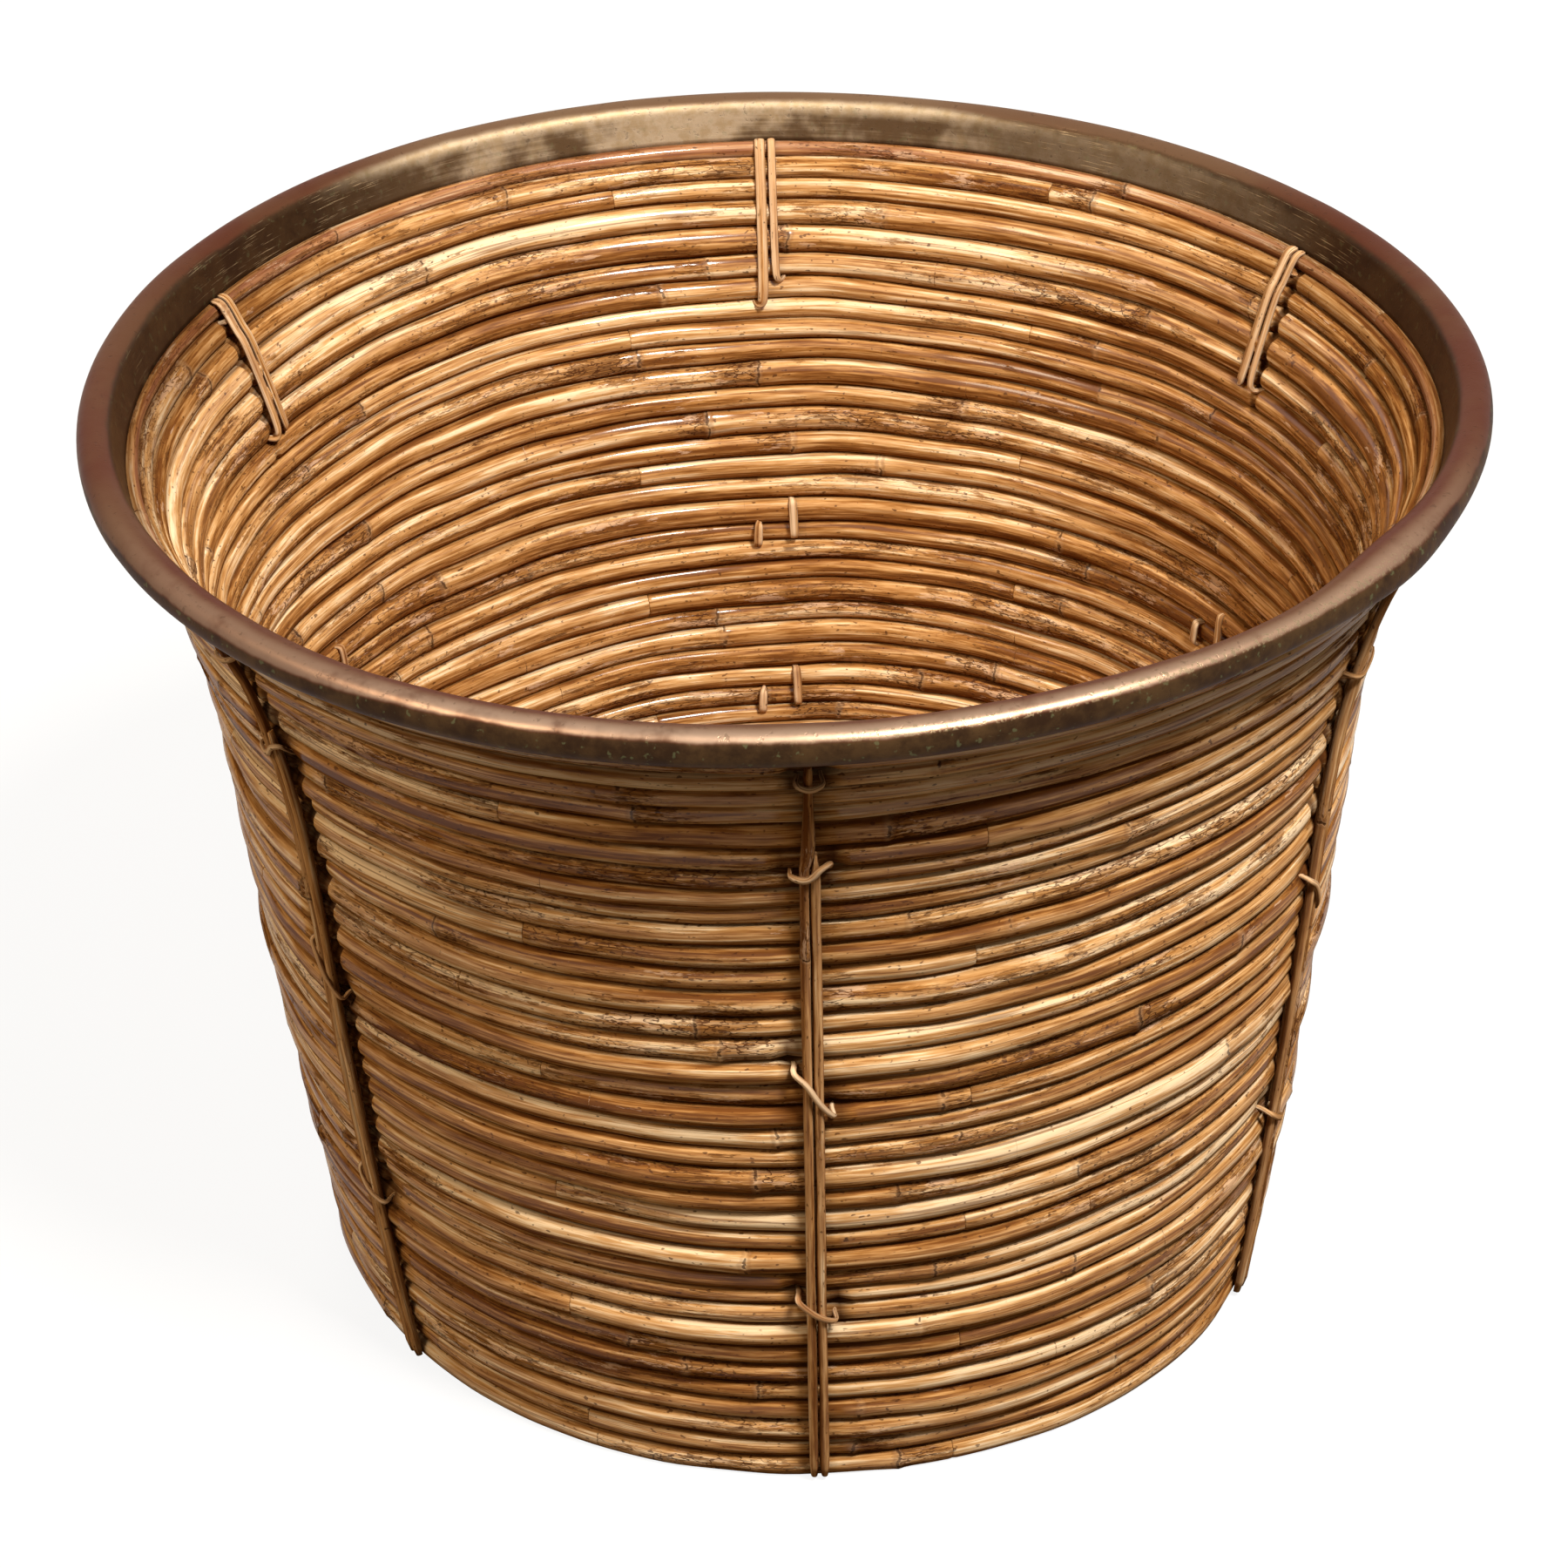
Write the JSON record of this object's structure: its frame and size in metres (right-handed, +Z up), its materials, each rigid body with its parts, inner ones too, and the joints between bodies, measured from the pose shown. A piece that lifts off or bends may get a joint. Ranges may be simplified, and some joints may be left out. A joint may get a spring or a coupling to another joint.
{
  "type": "rattan floor basket",
  "caption": "Round tapered floor basket of stacked rattan canes, tied by split-cane stakes and lashings, with a flared mouth and a rolled brass rim; open at the top",
  "frame": {"origin": "on the floor plane, at the middle of the basket's base", "axes": "+Z up through the mouth; -Y towards the front pair of stakes; +X to the right seen from the front"},
  "size_m": [0.4068, 0.4078, 0.2935],
  "materials": {
    "cane": "varnished rattan, satin to glossy, with nodes and dark skin patches",
    "top_cane": "varnished rattan, redder and darker, under the edge of the rim",
    "split_cane": "split rattan, satin, darkened along its edges",
    "core_cane": "unvarnished rattan",
    "floor_cane": "varnished rattan, satin",
    "brass": "aged brass sheet, copper-brown patina with rubbed bright patches"
  },
  "bodies": {
    "root": {"wall_cane_01": "cane", "wall_cane_02": "cane", "wall_cane_03": "cane", "wall_cane_04": "cane", "wall_cane_05": "cane", "wall_cane_06": "cane", "wall_cane_07": "cane", "wall_cane_08": "cane", "wall_cane_09": "cane", "wall_cane_10": "cane", "wall_cane_11": "cane", "wall_cane_12": "cane", "wall_cane_13": "cane", "wall_cane_14": "cane", "wall_cane_15": "cane", "wall_cane_16": "cane", "wall_cane_17": "cane", "wall_cane_18": "cane", "wall_cane_19": "cane", "wall_cane_20": "cane", "wall_cane_21": "cane", "wall_cane_22": "cane", "wall_cane_23": "cane", "wall_cane_24": "cane", "wall_cane_25": "cane", "wall_cane_26": "cane", "wall_cane_27": "cane", "wall_cane_28": "cane", "wall_cane_29": "cane", "wall_cane_30": "cane", "wall_cane_31": "cane", "wall_cane_32": "cane", "wall_cane_33": "cane", "wall_cane_34": "cane", "wall_cane_35": "top_cane", "wall_cane_36": "top_cane", "stake_1_long": "split_cane", "stake_1_short": "split_cane", "stake_2_long": "split_cane", "stake_2_short": "split_cane", "stake_3_long": "split_cane", "stake_3_short": "split_cane", "stake_4_long": "split_cane", "stake_4_short": "split_cane", "stake_5_long": "split_cane", "stake_5_short": "split_cane", "stake_6_long": "split_cane", "stake_6_short": "split_cane", "lashing_1": "split_cane", "lashing_2": "split_cane", "lashing_3": "split_cane", "lashing_4": "split_cane", "lashing_5": "split_cane", "lashing_6": "split_cane", "rim_filler_cane": "core_cane", "rim_core_cane": "core_cane", "brass_rim": "brass", "floor_coil": "floor_cane"}
  },
  "joints": []
}
